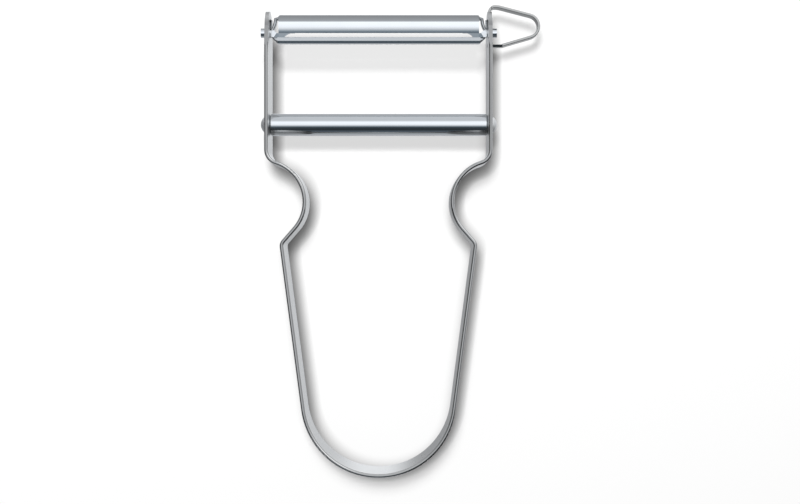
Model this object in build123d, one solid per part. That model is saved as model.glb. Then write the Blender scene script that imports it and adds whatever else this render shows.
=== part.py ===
from build123d import *
import math
import os

# Vegetable peeler of the bow kind: one bent strip is frame and handle, a
# slotted blade swivels between its two arms, a riveted distance tube braces
# the arms, and a small loop of strip on the right arm digs out eyes.
# The tool lies flat: Z is the width of the strip, Y runs from the bend of
# the handle to the blade, X runs across from arm to arm.

# ---------------------------------------------------------------- sizes, mm
STRIP_T = 0.9           # thickness of the bow's strip
STRIP_W = 12.0          # width of the strip, the depth of the tool
STRIP_EDGE_R = 0.42     # rolled, nearly half-round edges of the strip
MID_Z = STRIP_W / 2.0

ARM_OUT = 26.5          # half distance over the arms
ARM_IN = ARM_OUT - STRIP_T
CORNER_Y = 76.06        # where the arms start to turn in, above the bend
CORNER_R = 3.55         # outside radius of that turn
CORNER_A = 73.0         # its angle, degrees
WAIST_R = 9.03          # radius of the finger hollow, on the outside
HIP_A = 41.1            # the strip leaves the hollow outward at this angle
HIP_RUN = 3.92          # short straight run to the hip
HIP_R = 2.10            # outside radius of the hip
LEG_A = 7.5             # the legs close at this angle
LEG_RUN = 38.1

PIVOT_Y = 104.02        # axis of the blade, above the bend
TAPER_Y = 100.3         # the arms narrow from here to their round tips
TIP_R = 5.05            # round tip, about the axis of the blade
PIN_R = 1.10            # trunnions of the blade
PIVOT_R = 1.15          # their holes in the arms
PIN_OUT = 1.30          # how far a trunnion stands out of its arm
FAN_R = 3.30            # stop window above each pivot hole
FAN_A = 40.5            # half its angle, degrees
FIN_A = 9.5             # half angle of the blade's stop fin in that window
FIN_R = 3.00

BAR_Y = 82.38           # axis of the distance tube
BAR_R = 2.60
BAR_BORE_R = 1.60
BAR_CHAMFER = 0.35
RIVET_R = 1.50          # shank of the through rivet
RIVET_HEAD_R = 2.0
RIVET_HEAD_H = 1.35

SHEET = 0.70            # sheet of the blade
BLADE_HALF = 23.60      # half length of the blade's top
SLOT_HALF = 22.20       # half length of the slot
EDGE_HALF = 19.75       # half length of the ground cutting edge
SIDE_GAP = 0.15         # play of the blade beside each arm

EYE_T = 0.60            # strip of the eye remover
EYE_W = 3.10
EYE_TAB_W = 1.80        # its narrowed ends
EYE_R = 2.98            # outside radius of its nose


def turtle(start, heading, moves):
    """Edges of a path of straight runs ('f', length) and arcs
    ('a', radius, turn in degrees, positive to the left)."""
    x, y = start
    h = math.radians(heading)
    edges = []
    for m in moves:
        if m[0] == 'f':
            nx, ny = x + m[1] * math.cos(h), y + m[1] * math.sin(h)
            edges.append(Edge.make_line((x, y, 0), (nx, ny, 0)))
            x, y = nx, ny
        else:
            r, turn = m[1], math.radians(m[2])
            s = 1.0 if turn > 0 else -1.0
            cx, cy = x - s * r * math.sin(h), y + s * r * math.cos(h)

            def at(a):
                return (cx + s * r * math.sin(h + a), cy - s * r * math.cos(h + a))
            mx, my = at(turn / 2)
            nx, ny = at(turn)
            edges.append(Edge.make_three_point_arc((x, y, 0), (mx, my, 0), (nx, ny, 0)))
            x, y, h = nx, ny, h + turn
    return edges, (x, y), math.degrees(h)


# ------------------------------------------------------------------ the bow
half_t = STRIP_T / 2
arm_c = ARM_OUT - half_t
top_y = PIVOT_Y + TIP_R + 1.5
moves = [
    ('f', top_y - CORNER_Y),
    ('a', CORNER_R - half_t, CORNER_A),
    ('a', WAIST_R + half_t, -(CORNER_A + HIP_A)),
    ('f', HIP_RUN),
    ('a', HIP_R - half_t, HIP_A + LEG_A),
    ('f', LEG_RUN),
]
left, end, heading = turtle((-arm_c, top_y), -90.0, moves)
leg_end_x = end[0]
bend_r = -leg_end_x / math.cos(math.radians(LEG_A))
bend_turn = 90.0 - LEG_A
bend, bottom, _ = turtle(end, heading, [('a', bend_r, bend_turn)])
left = left + bend
drop = -(bottom[1] - half_t)          # brings the outside of the bend to Y = 0
right = [e.mirror(Plane.YZ) for e in left]
path = Wire(left + right).moved(Location((0, drop, MID_Z)))
pivot_y = PIVOT_Y
print("bend radius", round(bend_r, 3), "drop", round(drop, 3))

section = Plane(origin=(-arm_c, top_y + drop, MID_Z), x_dir=(1, 0, 0),
                z_dir=(0, -1, 0)) * RectangleRounded(STRIP_T, STRIP_W, STRIP_EDGE_R)
bow = sweep(section, path=path)

# side outline: full width up to the taper, then straight to the round tip
cy, r = PIVOT_Y, TIP_R
dx, dy = MID_Z, TAPER_Y - cy
dist = math.hypot(dx, dy)
a_tan = math.atan2(dy, dx) + math.acos(r / dist)
tx, ty = r * math.cos(a_tan), cy + r * math.sin(a_tan)
side = Plane(origin=(-40, 0, MID_Z), x_dir=(0, 1, 0), z_dir=(1, 0, 0))
outline = Wire([
    Edge.make_line((-5, -MID_Z - 1), (TAPER_Y - 2, -MID_Z - 1)),
    Edge.make_line((TAPER_Y - 2, -MID_Z - 1), (TAPER_Y - 2, -MID_Z - 1 + 0.999)),
    Edge.make_line((TAPER_Y - 2, -MID_Z - 0.001), (TAPER_Y, -MID_Z - 0.001)),
    Edge.make_line((TAPER_Y, -MID_Z - 0.001), (ty, -tx)),
    Edge.make_three_point_arc((ty, -tx), (cy + r, 0), (ty, tx)),
    Edge.make_line((ty, tx), (TAPER_Y, MID_Z + 0.001)),
    Edge.make_line((TAPER_Y, MID_Z + 0.001), (TAPER_Y - 2, MID_Z + 0.001)),
    Edge.make_line((TAPER_Y - 2, MID_Z + 0.001), (TAPER_Y - 2, MID_Z + 1)),
    Edge.make_line((TAPER_Y - 2, MID_Z + 1), (-5, MID_Z + 1)),
    Edge.make_line((-5, MID_Z + 1), (-5, -MID_Z - 1)),
])
keeper = extrude(side * Face(outline), 80)
bow = bow & keeper


def x_cylinder(radius, x0, x1, y, z):
    return Plane(origin=(x0, y, z), x_dir=(0, 1, 0), z_dir=(1, 0, 0)) * Cylinder(
        radius, x1 - x0, align=(Align.CENTER, Align.CENTER, Align.MIN))


# pivot holes, each with a fan above it that lets the stop fin swing
bow -= x_cylinder(PIVOT_R, -30, 30, PIVOT_Y, MID_Z)
fa = math.radians(FAN_A)
fan = Wire([
    Edge.make_line((0, 0), (FAN_R * math.cos(fa), -FAN_R * math.sin(fa))),
    Edge.make_three_point_arc((FAN_R * math.cos(fa), -FAN_R * math.sin(fa)), (FAN_R, 0),
                              (FAN_R * math.cos(fa), FAN_R * math.sin(fa))),
    Edge.make_line((FAN_R * math.cos(fa), FAN_R * math.sin(fa)), (0, 0)),
])
fan_plane = Plane(origin=(-30, PIVOT_Y, MID_Z), x_dir=(0, 1, 0), z_dir=(1, 0, 0))
bow -= extrude(fan_plane * Face(fan), 60)
# holes of the through rivet
bow -= x_cylinder(RIVET_R + 0.02, -30, 30, BAR_Y, MID_Z)

# ---------------------------------------------------------- the eye remover
# upper run, nose and lower run as one strip; a tab turned down into the
# arm's tip at one end, a tab through the arm at the other
UP_A = -14.6
LOW_A = 16.2
nose_c = (34.96, 105.51)
rc = EYE_R - EYE_T / 2
up_rad, low_rad = math.radians(UP_A), math.radians(LOW_A)
p_up = (nose_c[0] - rc * math.sin(up_rad), nose_c[1] + rc * math.cos(up_rad))
p_lo = (nose_c[0] + rc * math.sin(low_rad), nose_c[1] - rc * math.cos(low_rad))
# upper run, seen from the nose: straight, then level beside the arm's tip;
# its tab goes on round a bend and down into the tip
hook_r = 1.20
up, up_end, up_h = turtle(p_up, 180.0 + UP_A, [('f', 7.30), ('a', 4.0, -UP_A)])
level = up_end[0] - (ARM_OUT - half_t + hook_r)
print("upper run ends", up_end, up_h, "level run", level)
WIDE_A = 36.0           # the strip is full width as far as this into the bend
wide, wide_end, wide_h = turtle(up_end, up_h, [('f', level), ('a', hook_r, WIDE_A)])
hook, hook_end, hook_h = turtle(up_end, up_h, [
    ('f', level), ('a', hook_r, 90.0), ('f', 1.10)])
# lower run, seen from the nose: straight, then level through the arm
low, low_end, low_h = turtle(p_lo, 180.0 + LOW_A, [('f', 6.95)])
lowtab, lowtab_end, _ = turtle(low_end, low_h, [('a', 1.2, -LOW_A)])
tab_y = lowtab_end[1]
lowtab2 = [Edge.make_line((lowtab_end[0], tab_y, 0), (ARM_IN + 0.06, tab_y, 0))]
print("lower run ends", low_end, "tab y", tab_y)
nose, nose_end, _ = turtle(p_up, UP_A, [('a', rc, -(180.0 + UP_A - LOW_A))])


def band(edges, width, thickness):
    """A strip of this width stood on its edge along the path."""
    wire = Wire(edges)
    a = wire.position_at(0)
    d = wire.tangent_at(0)
    pl = Plane(origin=(a.X, a.Y, MID_Z), x_dir=(-d.Y, d.X, 0), z_dir=(d.X, d.Y, 0))
    prof = pl * RectangleRounded(thickness, width, 0.15)
    return sweep(prof, path=wire.moved(Location((0, 0, MID_Z))))


upper_run = band(up, EYE_W, EYE_T)
level_run = band(wide, EYE_W, EYE_T)
hooked = band(hook, EYE_TAB_W, EYE_T)
lower_run = band(nose + low, EYE_W, EYE_T)
through = band(lowtab + lowtab2, EYE_TAB_W, EYE_T)
# the upper side of the lower tab is filed off towards the handle
filed = Plane(origin=(28.2, tab_y + EYE_T / 2, MID_Z + EYE_TAB_W / 2 + 0.02), x_dir=(1, 0, 0),
              z_dir=(0, -math.sin(math.radians(33)), math.cos(math.radians(33)))) * Box(
    5.0, 4, 3, align=(Align.CENTER, Align.CENTER, Align.MIN))
through = through - filed
eye = lower_run + upper_run + level_run + hooked + through

# seat of the turned-down tab in the arm's tip, and slot of the lower tab
play = 0.03
bow -= Pos(hook_end[0], hook_end[1] + 3, MID_Z) * Box(
    EYE_T + 2 * play, 6.0 + 0.06, EYE_TAB_W + 2 * play)
bow -= Pos(ARM_OUT - half_t, tab_y, MID_Z) * Box(
    2.0, EYE_T + 2 * play, EYE_TAB_W + 2 * play)

# --------------------------------------------------------- tube and rivet
tube = x_cylinder(BAR_R, -ARM_IN, ARM_IN, BAR_Y, MID_Z)
tube = chamfer(tube.edges().filter_by(GeomType.CIRCLE), BAR_CHAMFER)
tube -= x_cylinder(BAR_BORE_R, -30, 30, BAR_Y, MID_Z)

# turned about Z, then laid along X
hr, hh, ra = RIVET_HEAD_R, RIVET_HEAD_H, ARM_OUT
rim = 0.25                     # straight rim under each dome
cap_h = hh - rim
ball_r = (hr ** 2 + cap_h ** 2) / (2 * cap_h)
half_a = math.asin(hr / ball_r) / 2
mid_r, mid_z = ball_r * math.sin(half_a), ra + hh - ball_r + ball_r * math.cos(half_a)
turned = [
    Edge.make_line((0, 0, -ra - hh), (0, 0, ra + hh)),
    Edge.make_three_point_arc((0, 0, ra + hh), (mid_r, 0, mid_z), (hr, 0, ra + rim)),
    Edge.make_line((hr, 0, ra + rim), (hr, 0, ra)),
    Edge.make_line((hr, 0, ra), (RIVET_R, 0, ra)),
    Edge.make_line((RIVET_R, 0, ra), (RIVET_R, 0, -ra)),
    Edge.make_line((RIVET_R, 0, -ra), (hr, 0, -ra)),
    Edge.make_line((hr, 0, -ra), (hr, 0, -ra - rim)),
    Edge.make_three_point_arc((hr, 0, -ra - rim), (mid_r, 0, -mid_z), (0, 0, -ra - hh)),
]
rivet = revolve(Face(Wire(turned)), Axis.Z, 360)
rivet = rivet.rotate(Axis.Y, 90).moved(Location((0, BAR_Y, MID_Z)))

# --------------------------------------------------------------- the blade
# section in (Y, Z) about the pivot: a steep back leaf, a crowned top with
# the cutting lip, the slot, and a ridged guide bar in front of it
R_TOP = 6.0
TOP_C = (1.90, 1.30 - R_TOP)          # centre of the crowned top
CREASE = (2.51, TOP_C[1] + math.sqrt(R_TOP ** 2 - (2.51 - 1.90) ** 2))
BACK = (4.62, -1.72)
LIP_Y = -0.12
FRONT_Y = -1.00
RIDGE = (-1.97, 1.22)
SKIRT = (-2.52, 0.72)


def arc_mid(p, q, radius, side):
    """Middle point of the arc of this radius from p to q."""
    mx, my = (p[0] + q[0]) / 2, (p[1] + q[1]) / 2
    ux, uy = q[0] - p[0], q[1] - p[1]
    c = math.hypot(ux, uy)
    h = radius - math.sqrt(radius ** 2 - c * c / 4)
    return (mx - side * uy / c * h, my + side * ux / c * h)


def on_top(y, radius):
    return (y, TOP_C[1] + math.sqrt(radius ** 2 - (y - TOP_C[0]) ** 2))


def inset(p, q, d):
    """Points p and q moved by d to the right of the direction p to q."""
    ux, uy = q[0] - p[0], q[1] - p[1]
    c = math.hypot(ux, uy)
    nx, ny = uy / c * d, -ux / c * d
    return (p[0] + nx, p[1] + ny), (q[0] + nx, q[1] + ny)


yz = Plane(origin=(0, PIVOT_Y, MID_Z), x_dir=(0, 1, 0), z_dir=(1, 0, 0))


def face_of(edges):
    return Face(Wire(edges))


# back leaf and crowned top
back_mid = arc_mid(BACK, CREASE, 6.0, -1)
in_crease = (2.11, TOP_C[1] + math.sqrt((R_TOP - SHEET) ** 2 - (2.11 - 1.90) ** 2))
in_back = (BACK[0] - 0.68, BACK[1] - 0.12)
lip_top = on_top(LIP_Y, R_TOP)
lip_bot = on_top(LIP_Y, R_TOP - SHEET)
leaf = face_of([
    Edge.make_three_point_arc(BACK, back_mid, CREASE),
    Edge.make_three_point_arc(CREASE, on_top(1.4, R_TOP), lip_top),
    Edge.make_line(lip_top, lip_bot),
    Edge.make_three_point_arc(lip_bot, on_top(1.2, R_TOP - SHEET), in_crease),
    Edge.make_three_point_arc(in_crease, arc_mid(in_crease, in_back, 5.4, 1), in_back),
    Edge.make_line(in_back, BACK),
])
leaf = extrude(yz * leaf, BLADE_HALF + 0.4, both=True)

# guide bar: ramp, ridge and skirt of the same sheet
ramp_a = (FRONT_Y, 0.64)
skirt_low = (-2.57, -0.55)
guide = face_of([
    Edge.make_line(ramp_a, RIDGE),
    Edge.make_line(RIDGE, SKIRT),
    Edge.make_line(SKIRT, skirt_low),
    Edge.make_line(skirt_low, (skirt_low[0] + SHEET, skirt_low[1])),
    Edge.make_line((skirt_low[0] + SHEET, skirt_low[1]), (-1.93, 0.40)),
    Edge.make_line((-1.93, 0.40), (FRONT_Y, -0.12)),
    Edge.make_line((FRONT_Y, -0.12), ramp_a),
])
guide = extrude(yz * guide, 25.05, both=True)

# webs that join leaf and guide bar beyond the ends of the slot
web = face_of([
    Edge.make_line(lip_top, (-1.10, 0.700)),
    Edge.make_line((-1.10, 0.700), (-1.10, 0.1)),
    Edge.make_line((-1.10, 0.1), (FRONT_Y, -0.12)),
    Edge.make_line((FRONT_Y, -0.12), lip_bot),
    Edge.make_line(lip_bot, lip_top),
])
web = extrude(yz * web, BLADE_HALF - 0.02, both=True)


def both_ends(shape):
    """The shape at the right end, with its mirror image at the left."""
    return shape, mirror(shape, about=Plane.YZ)


slot = Pos(0, PIVOT_Y + (LIP_Y + FRONT_Y) / 2, 10) * Box(
    2 * SLOT_HALF, LIP_Y - FRONT_Y, 20)
web_over_ramp = Pos(0, PIVOT_Y + (FRONT_Y - 1.2) / 2, MID_Z + 0.79) * Box(
    2 * SLOT_HALF, 1.2 + FRONT_Y, 1.6)
# upper corner of each slot end is a long round
corner = Pos(0, PIVOT_Y, 0) * extrude(face_of([
    Edge.make_line((SLOT_HALF + 0.2, LIP_Y + 0.05), (SLOT_HALF - 2.6, LIP_Y + 0.05)),
    Edge.make_line((SLOT_HALF - 2.6, LIP_Y + 0.05), (SLOT_HALF - 2.6, LIP_Y)),
    Edge.make_three_point_arc((SLOT_HALF - 2.6, LIP_Y),
                              (SLOT_HALF - 0.85, LIP_Y - 0.20),
                              (SLOT_HALF, FRONT_Y + 0.05)),
    Edge.make_line((SLOT_HALF, FRONT_Y + 0.05), (SLOT_HALF + 0.2, FRONT_Y + 0.05)),
    Edge.make_line((SLOT_HALF + 0.2, FRONT_Y + 0.05), (SLOT_HALF + 0.2, LIP_Y + 0.05)),
]), 20, both=True)
for c in both_ends(corner):
    slot -= c
blade = leaf + guide + (web - web_over_ramp) - slot

# the lip is ground from below to a sharp edge between the slot's ends
sharp = on_top(LIP_Y, R_TOP)
grind = face_of([
    Edge.make_line((LIP_Y - 0.5, sharp[1] - 0.35), (LIP_Y, sharp[1] - 0.05)),
    Edge.make_line((LIP_Y, sharp[1] - 0.05), (LIP_Y + 1.25, sharp[1] - 0.50)),
    Edge.make_line((LIP_Y + 1.25, sharp[1] - 0.50), (LIP_Y + 1.25, sharp[1] - 1.6)),
    Edge.make_line((LIP_Y + 1.25, sharp[1] - 1.6), (LIP_Y - 0.5, sharp[1] - 1.6)),
    Edge.make_line((LIP_Y - 0.5, sharp[1] - 1.6), (LIP_Y - 0.5, sharp[1] - 0.35)),
])
blade -= extrude(yz * grind, EDGE_HALF, both=True)

# the leaf's ends: a cut back corner, a small point, then straight to the lip
end_cut = Pos(0, PIVOT_Y, 0) * extrude(face_of([
    Edge.make_line((23.35, BACK[0] + 0.25), (23.5, BACK[0])),
    Edge.make_line((23.5, BACK[0]), (23.99, 3.5)),
    Edge.make_line((23.99, 3.5), (BLADE_HALF, 2.72)),
    Edge.make_line((BLADE_HALF, 2.72), (BLADE_HALF, -0.5)),
    Edge.make_line((BLADE_HALF, -0.5), (25, -0.5)),
    Edge.make_line((25, -0.5), (25, BACK[0] + 0.25)),
    Edge.make_line((25, BACK[0] + 0.25), (23.35, BACK[0] + 0.25)),
]), 20, both=True)
for c in both_ends(end_cut):
    blade -= c


def sloped(shape, y, z, angle):
    """Cut level by a plane through (y, z) about the pivot that falls towards
    the handle by this angle."""
    t = math.radians(angle)
    over = Plane(origin=(0, PIVOT_Y + y, MID_Z + z), x_dir=(1, 0, 0),
                 z_dir=(0, -math.sin(t), math.cos(t))) * Box(
        70, 30, 10, align=(Align.CENTER, Align.CENTER, Align.MIN))
    return shape - over


# ears, necks, trunnions and stop fins, made at the right end
SHOULDER = ARM_IN - SIDE_GAP
# curved ear from the point of the leaf to the trunnion
ear = Pos(0, PIVOT_Y, MID_Z - 0.125) * extrude(face_of([
    Edge.make_line((23.6, 3.75), (24.62, 3.45)),
    Edge.make_spline([(24.62, 3.45), (24.78, 2.5), (24.98, 1.6), (25.30, 0.75)]),
    Edge.make_line((25.30, 0.75), (SHOULDER, 0.4)),
    Edge.make_line((SHOULDER, 0.4), (SHOULDER, -0.95)),
    Edge.make_line((SHOULDER, -0.95), (24.85, -0.95)),
    Edge.make_line((24.85, -0.95), (24.85, 0.5)),
    Edge.make_spline([(24.85, 0.5), (24.45, 1.25), (24.12, 2.1), (23.97, 3.05)]),
    Edge.make_line((23.97, 3.05), (23.6, 3.1)),
    Edge.make_line((23.6, 3.1), (23.6, 3.75)),
]), 0.925, both=True)
ear = fillet(ear.edges().group_by(Axis.Z)[-1], 0.22)
# neck from the web to the trunnion: a low foot with a cut corner, and a
# raised plate on it
foot = Pos(0, PIVOT_Y, MID_Z + 0.5) * extrude(face_of([
    Edge.make_line((23.2, -0.15), (24.0, -0.12)),
    Edge.make_line((24.0, -0.12), (24.8, -0.3)),
    Edge.make_line((24.8, -0.3), (24.8, -1.3)),
    Edge.make_line((24.8, -1.3), (23.2, -1.3)),
    Edge.make_line((23.2, -1.3), (23.2, -0.15)),
]), 0.8, both=True)
foot = sloped(foot, -0.12, 0.92, 15)
plate = Pos(0, PIVOT_Y, MID_Z + 0.6) * extrude(face_of([
    Edge.make_line((24.0, -0.10), (24.80, 0.50)),
    Edge.make_line((24.80, 0.50), (SHOULDER, 0.0)),
    Edge.make_line((SHOULDER, 0.0), (SHOULDER, -0.95)),
    Edge.make_line((SHOULDER, -0.95), (24.72, -1.14)),
    Edge.make_line((24.72, -1.14), (24.0, -0.10)),
]), 0.8, both=True)
plate = sloped(plate, 0.50, 1.26, 7)
pin = x_cylinder(PIN_R, 24.9, ARM_OUT + PIN_OUT, PIVOT_Y, MID_Z)
# stop fin, a radial wedge in the fan of the arm
ft = math.tan(math.radians(FIN_A))
fin = Pos(SHOULDER - 0.35, 0, 0) * extrude(yz * face_of([
    Edge.make_line((0.6, -0.6 * ft), (FIN_R, -FIN_R * ft)),
    Edge.make_line((FIN_R, -FIN_R * ft), (FIN_R, FIN_R * ft)),
    Edge.make_line((FIN_R, FIN_R * ft), (0.6, 0.6 * ft)),
    Edge.make_line((0.6, 0.6 * ft), (0.6, -0.6 * ft)),
]), ARM_OUT - 0.12 - SHOULDER + 0.35)
for c in both_ends(foot):
    blade += c
# the guide bar's ends are cut across and bevelled like its front
CUT_P, CUT_Q = (25.00, -1.42), (23.86, -2.47)
run = math.hypot(CUT_P[0] - CUT_Q[0], CUT_P[1] - CUT_Q[1])
along = ((CUT_P[0] - CUT_Q[0]) / run, (CUT_P[1] - CUT_Q[1]) / run)
out = (along[1], -along[0])
cut_mid = ((CUT_P[0] + CUT_Q[0]) / 2, (CUT_P[1] + CUT_Q[1]) / 2)
across = Plane(origin=(cut_mid[0], PIVOT_Y + cut_mid[1], MID_Z),
               x_dir=(along[0], along[1], 0), z_dir=(out[0], out[1], 0)) * Box(
    5, 20, 6, align=(Align.CENTER, Align.CENTER, Align.MIN))
BEVEL = 0.42
fall = math.atan2(RIDGE[1] - SKIRT[1], BEVEL)
bevel = Plane(origin=(cut_mid[0] - out[0] * BEVEL, PIVOT_Y + cut_mid[1] - out[1] * BEVEL,
                      MID_Z + RIDGE[1]),
              x_dir=(along[0], along[1], 0),
              z_dir=(out[0] * math.sin(fall), out[1] * math.sin(fall), math.cos(fall))) * Box(
    5, 6, 4, align=(Align.CENTER, Align.CENTER, Align.MIN))
for c in both_ends(across) + both_ends(bevel):
    blade -= c
for piece in (ear, plate, pin, fin):
    for c in both_ends(piece):
        blade += c

# ------------------------------------------------------------------- output
nodes = {
    "bow": bow,
    "blade": blade,
    "crossbar_tube": tube,
    "crossbar_rivet": rivet,
    "eye_remover": eye,
}
boxes = [s.bounding_box() for s in nodes.values()]
lo = [min(getattr(b.min, k) for b in boxes) for k in "XYZ"]
hi = [max(getattr(b.max, k) for b in boxes) for k in "XYZ"]
print("box", [round(v, 3) for v in lo], [round(v, 3) for v in hi])
shift = (-round((lo[0] + hi[0]) / 2, 3), -round((lo[1] + hi[1]) / 2, 3), 0.0)
print("shift", shift)
os.makedirs("parts", exist_ok=True)
for name, shape in nodes.items():
    moved = shape.moved(Location(shift))
    if isinstance(moved, (list, ShapeList)):
        moved = Compound(children=list(moved))
    solids = moved.solids()
    print(name, "solids", len(solids), "volume", round(sum(s.volume for s in solids), 2))
    export_step(moved if len(solids) != 1 else solids[0], f"parts/{name}.step")
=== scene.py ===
import math

import bpy
from mathutils import Matrix, Vector

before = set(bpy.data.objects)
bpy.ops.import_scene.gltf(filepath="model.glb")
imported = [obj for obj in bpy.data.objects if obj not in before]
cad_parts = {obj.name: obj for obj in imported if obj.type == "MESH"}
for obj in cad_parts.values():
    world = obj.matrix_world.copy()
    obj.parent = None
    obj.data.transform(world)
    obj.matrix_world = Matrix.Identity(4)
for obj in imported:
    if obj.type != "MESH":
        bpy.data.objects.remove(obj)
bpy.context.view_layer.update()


# the model's own millimetres: X = 0 midway between the arms, Y = 0 at the
# outside of the handle's bend
SX, SY = -5.045, -55.186


def P(x, y, z=0.0):
    return Vector(((x + SX) / 1000.0, (y + SY) / 1000.0, z / 1000.0))


# ------------------------------------------------------------------- camera
cam_data = bpy.data.cameras.new("camera")
cam_data.sensor_fit = "HORIZONTAL"
cam_data.sensor_width = 36.0
cam_data.lens = 59.1
cam_data.clip_start = 0.01
cam_data.clip_end = 20.0
cam = bpy.data.objects.new("camera", cam_data)
cam.location = (P(4.99, 52.38).x, P(4.99, 52.38).y, 0.316)
cam.rotation_euler = (0.0, 0.0, 0.0)
bpy.context.scene.collection.objects.link(cam)
bpy.context.scene.camera = cam

scene = bpy.context.scene
scene.view_settings.view_transform = "Standard"
scene.view_settings.look = "None"
scene.view_settings.exposure = 0.0
scene.view_settings.gamma = 1.0


# ---------------------------------------------------------------- node tools
def new_material(name):
    m = bpy.data.materials.new(name)
    m.use_nodes = True
    nt = m.node_tree
    for n in list(nt.nodes):
        nt.nodes.remove(n)
    out = nt.nodes.new("ShaderNodeOutputMaterial")
    bsdf = nt.nodes.new("ShaderNodeBsdfPrincipled")
    nt.links.new(bsdf.outputs["BSDF"], out.inputs["Surface"])
    return m, nt, bsdf


def node(nt, kind, **props):
    n = nt.nodes.new(kind)
    for k, v in props.items():
        setattr(n, k, v)
    return n


def ramp(nt, fac, stops, interpolation="LINEAR"):
    r = nt.nodes.new("ShaderNodeValToRGB")
    r.color_ramp.interpolation = interpolation
    e = r.color_ramp.elements
    while len(e) > 1:
        e.remove(e[-1])
    first = True
    for pos, col in stops:
        c = col if len(col) == 4 else (*col, 1.0)
        if first:
            e[0].position, e[0].color, first = pos, c, False
        else:
            s = e.new(pos)
            s.color = c
    nt.links.new(fac, r.inputs["Fac"])
    return r.outputs["Color"]


def math_node(nt, op, a, b=None, clamp=False):
    n = node(nt, "ShaderNodeMath", operation=op, use_clamp=clamp)
    for i, v in enumerate((a, b)):
        if v is None:
            continue
        if isinstance(v, (int, float)):
            n.inputs[i].default_value = v
        else:
            nt.links.new(v, n.inputs[i])
    return n.outputs[0]


# -------------------------------------------------------------------- stage
floor_mesh = bpy.data.meshes.new("studio_floor")
half = 3.0
floor_mesh.from_pydata([(-half, -half, 0), (half, -half, 0), (half, half, 0), (-half, half, 0)],
                       [], [(0, 1, 2, 3)])
floor = bpy.data.objects.new("studio_floor", floor_mesh)
floor.location = (0, 0, -0.00002)
scene.collection.objects.link(floor)
m, nt, bsdf = new_material("floor_white")
# painted contact shade: an ambient occlusion term darkens the floor's colour in
# the last millimetres in front of an upright wall, least on the side that faces the light
painted_contact_shade = node(nt, "ShaderNodeAmbientOcclusion", samples=16)
painted_contact_shade.inputs["Distance"].default_value = 0.0032
lean_in = node(nt, "ShaderNodeCombineXYZ")
lean_in.inputs[0].default_value = -0.53
lean_in.inputs[1].default_value = 0.50
lean_in.inputs[2].default_value = 0.69
nt.links.new(lean_in.outputs[0], painted_contact_shade.inputs["Normal"])
depth = math_node(nt, "POWER", painted_contact_shade.outputs["AO"], 1.1)
nt.links.new(ramp(nt, depth, [(0.0, (0, 0, 0)), (1.0, (0.86, 0.86, 0.86))]),
             bsdf.inputs["Base Color"])
bsdf.inputs["Roughness"].default_value = 0.9
bsdf.inputs["Specular IOR Level"].default_value = 0.0
floor_mesh.materials.append(m)
floor.visible_glossy = False

# Metals see a studio of soft gradients: a wide bright source overhead, a pale
# wall behind the blade and at the right, a dark wall at the handle's side and
# a dim one at the left. The floor gets an even low ambient light.
world = bpy.data.worlds.new("studio_world")
scene.world = world
world.use_nodes = True
world.cycles.sampling_method = "NONE"
wt = world.node_tree
for n in list(wt.nodes):
    wt.nodes.remove(n)
wout = node(wt, "ShaderNodeOutputWorld")
bg = node(wt, "ShaderNodeBackground")
wt.links.new(bg.outputs[0], wout.inputs["Surface"])
tc = node(wt, "ShaderNodeTexCoord")
sep = node(wt, "ShaderNodeSeparateXYZ")
wt.links.new(tc.outputs["Generated"], sep.inputs[0])


def at(deg):
    return (deg + 180.0) / 360.0


def g(v, tint=(0.972, 1.0, 1.035)):
    return tuple(v * t for t in tint)


COOL = (0.80, 1.0, 1.17)


def turn(component):
    """Angle from +Z towards this horizontal axis, as 0..1 for -180..180 degrees."""
    a = math_node(wt, "ARCTAN2", sep.outputs[component], sep.outputs["Z"])
    return math_node(wt, "ADD", math_node(wt, "DIVIDE", a, 2 * math.pi), 0.5)


along_y = ramp(wt, turn("Y"), [
    (at(-180), g(0.56)),
    (at(-155), g(0.56)),
    (at(-132), g(0.62)),
    (at(-110), g(0.46)),
    (at(-85), g(0.17, COOL)),
    (at(-55), g(0.034, COOL)),
    (at(-30), g(0.08, COOL)),
    (at(-22), g(0.28, COOL)),
    (at(-9), g(1.00)),
    (at(2), g(1.42)),
    (at(22), g(1.48)),
    (at(42), g(0.82)),
    (at(80), g(0.84)),
    (at(104), g(0.66)),
    (at(138), g(0.43)),
    (at(154), g(1.15)),
    (at(180), g(1.30)),
])
along_x = ramp(wt, turn("X"), [
    (at(-180), g(0.47)),
    (at(-120), g(0.30)),
    (at(-80), g(0.06)),
    (at(-48), g(0.06)),
    (at(-34), g(0.45)),
    (at(-20), g(1.00)),
    (at(-10), g(1.30)),
    (at(0), g(1.42)),
    (at(14), g(1.25)),
    (at(34), g(0.62)),
    (at(95), g(0.45)),
    (at(130), g(0.76)),
    (at(180), g(0.80)),
])
x2 = math_node(wt, "MULTIPLY", sep.outputs["X"], sep.outputs["X"])
y2 = math_node(wt, "MULTIPLY", sep.outputs["Y"], sep.outputs["Y"])
share = math_node(wt, "DIVIDE", x2, math_node(wt, "ADD", math_node(wt, "ADD", x2, y2), 1e-5))
to_x = node(wt, "ShaderNodeMapRange", interpolation_type="SMOOTHSTEP")
to_x.inputs["From Min"].default_value = 0.03
to_x.inputs["From Max"].default_value = 0.62
wt.links.new(share, to_x.inputs["Value"])
steep = node(wt, "ShaderNodeMapRange", interpolation_type="SMOOTHSTEP")
steep.inputs["From Min"].default_value = -0.2
steep.inputs["From Max"].default_value = -0.6
wt.links.new(sep.outputs["Z"], steep.inputs["Value"])
pick_x = node(wt, "ShaderNodeMix", data_type="FLOAT")
wt.links.new(steep.outputs[0], pick_x.inputs[0])
wt.links.new(math_node(wt, "POWER", share, 1.3), pick_x.inputs[2])
wt.links.new(to_x.outputs[0], pick_x.inputs[3])
share = pick_x.outputs[0]
blend = node(wt, "ShaderNodeMix", data_type="RGBA")
wt.links.new(share, blend.inputs[0])
wt.links.new(along_y, blend.inputs[6])
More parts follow.
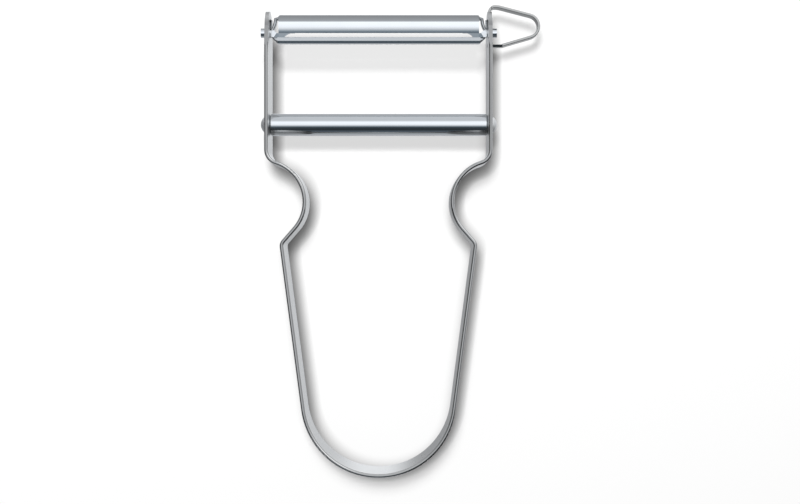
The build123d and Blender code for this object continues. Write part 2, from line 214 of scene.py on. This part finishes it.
wt.links.new(along_x, blend.inputs[7])
# a strip light stands behind the right shoulder, and a dark screen stands low
# in front of it
diag = math_node(wt, "MULTIPLY", math_node(wt, "ADD", sep.outputs["X"], sep.outputs["Y"]), 0.7071)
cross = math_node(wt, "MULTIPLY", math_node(wt, "SUBTRACT", sep.outputs["X"], sep.outputs["Y"]), 0.7071)
lean = math_node(wt, "DIVIDE", math_node(wt, "ARCTAN2", diag, sep.outputs["Z"]), math.pi)
high = ramp(wt, lean, [(22 / 180, (0, 0, 0)), (32 / 180, (1, 1, 1)),
                       (54 / 180, (1, 1, 1)), (64 / 180, (0, 0, 0))])
near = ramp(wt, math_node(wt, "ABSOLUTE", cross), [(0.16, (1, 1, 1)), (0.38, (0, 0, 0))])
strip = math_node(wt, "MULTIPLY", math_node(wt, "MULTIPLY", high, near), 1.6)
flat = math_node(wt, "SQRT", math_node(wt, "ADD", math_node(wt, "ADD", x2, y2), 1e-5))
screen = math_node(wt, "MULTIPLY",
                   ramp(wt, math_node(wt, "DIVIDE", cross, flat), [(0.78, (0, 0, 0)), (0.94, (1, 1, 1))]),
                   ramp(wt, flat, [(0.30, (0, 0, 0)), (0.55, (1, 1, 1))]))
low = node(wt, "ShaderNodeMapRange", interpolation_type="SMOOTHSTEP")
low.inputs["From Min"].default_value = -0.60
low.inputs["From Max"].default_value = -0.85
wt.links.new(sep.outputs["Z"], low.inputs["Value"])
above = math_node(wt, "SUBTRACT", 1.0, low.outputs[0])
screen = math_node(wt, "SUBTRACT", 1.0, math_node(
    wt, "MULTIPLY", math_node(wt, "MULTIPLY", screen, above), 0.85))
shade = node(wt, "ShaderNodeMix", data_type="RGBA", blend_type="MULTIPLY")
shade.inputs[0].default_value = 1.0
wt.links.new(blend.outputs[2], shade.inputs[6])
wt.links.new(screen, shade.inputs[7])
sum_up = node(wt, "ShaderNodeMix", data_type="RGBA", blend_type="ADD")
sum_up.inputs[0].default_value = 1.0
wt.links.new(shade.outputs[2], sum_up.inputs[6])
wt.links.new(strip, sum_up.inputs[7])
# only what the camera sees in the metal is the studio; light that the metal
# passes on to the floor stays at the ambient level
lp = node(wt, "ShaderNodeLightPath")
first = math_node(wt, "LESS_THAN", lp.outputs["Diffuse Depth"], 0.5)
pick = node(wt, "ShaderNodeMix", data_type="RGBA")
wt.links.new(math_node(wt, "MULTIPLY", lp.outputs["Is Glossy Ray"], first), pick.inputs[0])
pick.inputs[6].default_value = (0.06, 0.06, 0.06, 1)
wt.links.new(sum_up.outputs[2], pick.inputs[7])
wt.links.new(pick.outputs[2], bg.inputs["Color"])
bg.inputs["Strength"].default_value = 1.0


def area(name, slope_x, slope_y, distance, size_x, size_y, floor_light, target=(0, 0.0, 0.0)):
    """A soft oval source in the direction (slope_x, slope_y, 1). floor_light is
    what it adds to the floor, where 1 is white."""
    d = bpy.data.lights.new(name, "AREA")
    d.shape = "ELLIPSE"
    d.size = size_x
    d.size_y = size_y
    v = Vector((slope_x, slope_y, 1.0)).normalized()
    d.energy = floor_light * math.pi ** 2 * distance ** 2 / (0.86 * v.z)
    o = bpy.data.objects.new(name, d)
    o.location = Vector(target) + v * distance
    o.rotation_euler = v.to_track_quat("Z", "Y").to_euler()
    o.visible_glossy = False
    scene.collection.objects.link(o)
    return o


def blockers(light, *names):
    """Only these nodes cast a shadow from this light."""
    c = bpy.data.collections.new(light.name + "_blockers")
    for n in names:
        c.objects.link(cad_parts[n])
    light.light_linking.blocker_collection = c


# The high key gives the walls of the bow their short dark foot. The low keys
# throw the shadow of the bar. The back key reaches under the blade's leaf, so
# that the floor shows pale through the slot.
high_key = area("high_key", -0.10, 0.25, 1.5, 0.52, 0.38, 0.41)
blockers(high_key, "bow", "eye_remover")
low_key = area("low_key", -0.10, 0.42, 1.5, 0.50, 0.30, 0.18)
blockers(low_key, "bow", "eye_remover", "crossbar_tube", "crossbar_rivet")
bar_key = area("bar_key", -0.10, 0.50, 1.5, 0.40, 0.22, 0.18)
blockers(bar_key, "crossbar_tube", "crossbar_rivet")
back_key = area("back_key", -0.08, 0.90, 1.5, 0.40, 0.30, 0.24)
blockers(back_key, "blade")


# ---------------------------------------------------------------- materials
def steel(name, base, rough, line_axis, line_scale=900.0, rough_span=0.10,
          bump=0.02, bump_distance=0.00004, tint_span=0.04, cut_finish_and_shade=None, cut_rough=None,
          wall=None, behind=None, behind_y=0.0, ears_shade=None, ears_x=0.0, ears_y=0.0):
    """Steel with fine drawing lines. line_axis is the axis the lines run along.
    cut and cut_rough are the brightness and roughness of faces that look up or
    down, the sheared and rolled edges of a strip that stands on edge; their darker
    colour is partly the duller finish of these edges and partly painted shade. wall
    is the brightness of its upright faces, a painted shade. behind is the brightness
    of the part beyond behind_y, a painted shade on the blade's back leaf, and ears
    that of the bent ends beyond ears_y that stand further out than ears_x from the
    middle, also a painted shade."""
    m, nt, bsdf = new_material(name)
    bsdf.inputs["Metallic"].default_value = 1.0
    tex = node(nt, "ShaderNodeTexCoord")
    mp = node(nt, "ShaderNodeMapping")
    nt.links.new(tex.outputs["Object"], mp.inputs["Vector"])
    sc = [line_scale] * 3
    sc["XYZ".index(line_axis)] = line_scale * 0.02
    mp.inputs["Scale"].default_value = sc
    lines = node(nt, "ShaderNodeTexNoise")
    lines.inputs["Scale"].default_value = 1.0
    lines.inputs["Detail"].default_value = 3.0
    nt.links.new(mp.outputs[0], lines.inputs["Vector"])
    cloud = node(nt, "ShaderNodeTexNoise")
    cloud.inputs["Scale"].default_value = 160.0
    cloud.inputs["Detail"].default_value = 4.0
    nt.links.new(tex.outputs["Object"], cloud.inputs["Vector"])
    lo = tuple(c * (1 - tint_span) for c in base)
    hi = tuple(min(1.0, c * (1 + tint_span)) for c in base)
    mix = math_node(nt, "ADD", math_node(nt, "MULTIPLY", lines.outputs["Fac"], 0.7),
                    math_node(nt, "MULTIPLY", cloud.outputs["Fac"], 0.3))
    colour = ramp(nt, mix, [(0.3, lo), (0.7, hi)])
    rr = node(nt, "ShaderNodeMapRange")
    rr.inputs["From Min"].default_value = 0.3
    rr.inputs["From Max"].default_value = 0.7
    rr.inputs["To Min"].default_value = rough - rough_span / 2
    rr.inputs["To Max"].default_value = rough + rough_span / 2
    nt.links.new(mix, rr.inputs["Value"])
    roughness = rr.outputs[0]
    if cut_finish_and_shade is not None:
        geo = node(nt, "ShaderNodeNewGeometry")
        nrm = node(nt, "ShaderNodeSeparateXYZ")
        nt.links.new(geo.outputs["Normal"], nrm.inputs[0])
        up = math_node(nt, "ABSOLUTE", nrm.outputs["Z"])
        # faces that look up or down get a darker colour here: partly the duller finish of sheared and
        # rolled edges, partly painted shade
        edge = ramp(nt, up, [(0.72, (0, 0, 0)), (0.97, (1, 1, 1))])
        dim = node(nt, "ShaderNodeMix", data_type="RGBA", blend_type="MULTIPLY")
        nt.links.new(edge, dim.inputs[0])
        nt.links.new(colour, dim.inputs[6])
        dim.inputs[7].default_value = (cut_finish_and_shade, cut_finish_and_shade, cut_finish_and_shade * 1.01, 1)
        colour = dim.outputs[2]
        # painted shade: the upright faces get a darker colour
        if wall is not None:
            side = ramp(nt, up, [(0.15, (1, 1, 1)), (0.60, (0, 0, 0))])
            dim = node(nt, "ShaderNodeMix", data_type="RGBA", blend_type="MULTIPLY")
            nt.links.new(side, dim.inputs[0])
            nt.links.new(colour, dim.inputs[6])
            dim.inputs[7].default_value = (wall, wall, wall * 1.01, 1)
            colour = dim.outputs[2]
        turn_r = node(nt, "ShaderNodeMix", data_type="FLOAT")
        soft = ramp(nt, up, [(0.05, (0, 0, 0)), (0.40, (1, 1, 1))])
        nt.links.new(soft, turn_r.inputs[0])
        nt.links.new(roughness, turn_r.inputs[2])
        turn_r.inputs[3].default_value = cut_rough
        roughness = turn_r.outputs[0]
    # painted shade: the blade's leaf beyond behind_y gets a darker colour
    if behind is not None:
        pos = node(nt, "ShaderNodeSeparateXYZ")
        nt.links.new(tex.outputs["Object"], pos.inputs[0])
        behind_shade_mask = node(nt, "ShaderNodeMapRange")
        behind_shade_mask.inputs["From Min"].default_value = behind_y - 0.00010
        behind_shade_mask.inputs["From Max"].default_value = behind_y + 0.00030
        nt.links.new(pos.outputs["Y"], behind_shade_mask.inputs["Value"])
        dim = node(nt, "ShaderNodeMix", data_type="RGBA", blend_type="MULTIPLY")
        nt.links.new(behind_shade_mask.outputs[0], dim.inputs[0])
        nt.links.new(colour, dim.inputs[6])
        dim.inputs[7].default_value = (behind, behind, behind, 1)
        colour = dim.outputs[2]
        # painted shade: the blade's bent ends, far from the middle and beyond ears_y, get a darker colour
        out_x = math_node(nt, "ABSOLUTE", math_node(nt, "SUBTRACT", pos.outputs["X"], P(0, 0).x))
        ears_shade_mask = math_node(nt, "MULTIPLY", math_node(nt, "GREATER_THAN", out_x, ears_x),
                        math_node(nt, "GREATER_THAN", pos.outputs["Y"], ears_y))
        dim = node(nt, "ShaderNodeMix", data_type="RGBA", blend_type="MULTIPLY")
        nt.links.new(ears_shade_mask, dim.inputs[0])
        nt.links.new(colour, dim.inputs[6])
        dim.inputs[7].default_value = (ears_shade, ears_shade, ears_shade, 1)
        colour = dim.outputs[2]
    nt.links.new(colour, bsdf.inputs["Base Color"])
    nt.links.new(roughness, bsdf.inputs["Roughness"])
    b = node(nt, "ShaderNodeBump")
    b.inputs["Strength"].default_value = bump
    b.inputs["Distance"].default_value = bump_distance
    nt.links.new(lines.outputs["Fac"], b.inputs["Height"])
    nt.links.new(b.outputs[0], bsdf.inputs["Normal"])
    return m


mat_bow = steel("bow_satin_steel", (0.615, 0.612, 0.603), 0.30, "Y", rough_span=0.08,
                cut_finish_and_shade=0.52, cut_rough=0.08)
# the blade's back leaf and its bent ends carry painted shade
mat_blade = steel("blade_polished_steel", (0.66, 0.68, 0.70), 0.12, "X", rough_span=0.05,
                  behind=0.68, behind_y=P(0, 104.02 + 2.51).y,
                  ears_shade=0.50, ears_x=0.0238, ears_y=P(0, 104.75).y)
mat_tube = steel("tube_polished_steel", (0.62, 0.64, 0.66), 0.10, "X", rough_span=0.04)
mat_rivet = steel("rivet_smooth_steel", (0.92, 0.92, 0.92), 0.55, "Y", rough_span=0.04)
mat_eye = steel("eye_remover_satin_steel", (0.575, 0.572, 0.555), 0.30, "X", rough_span=0.08,
                cut_finish_and_shade=0.60, cut_rough=0.14, wall=0.50)


def dress(name, material):
    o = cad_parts[name]
    for s in o.material_slots:
        s.link = "OBJECT"
        s.material = material


dress("bow", mat_bow)
dress("blade", mat_blade)
dress("crossbar_tube", mat_tube)
dress("crossbar_rivet", mat_rivet)
dress("eye_remover", mat_eye)
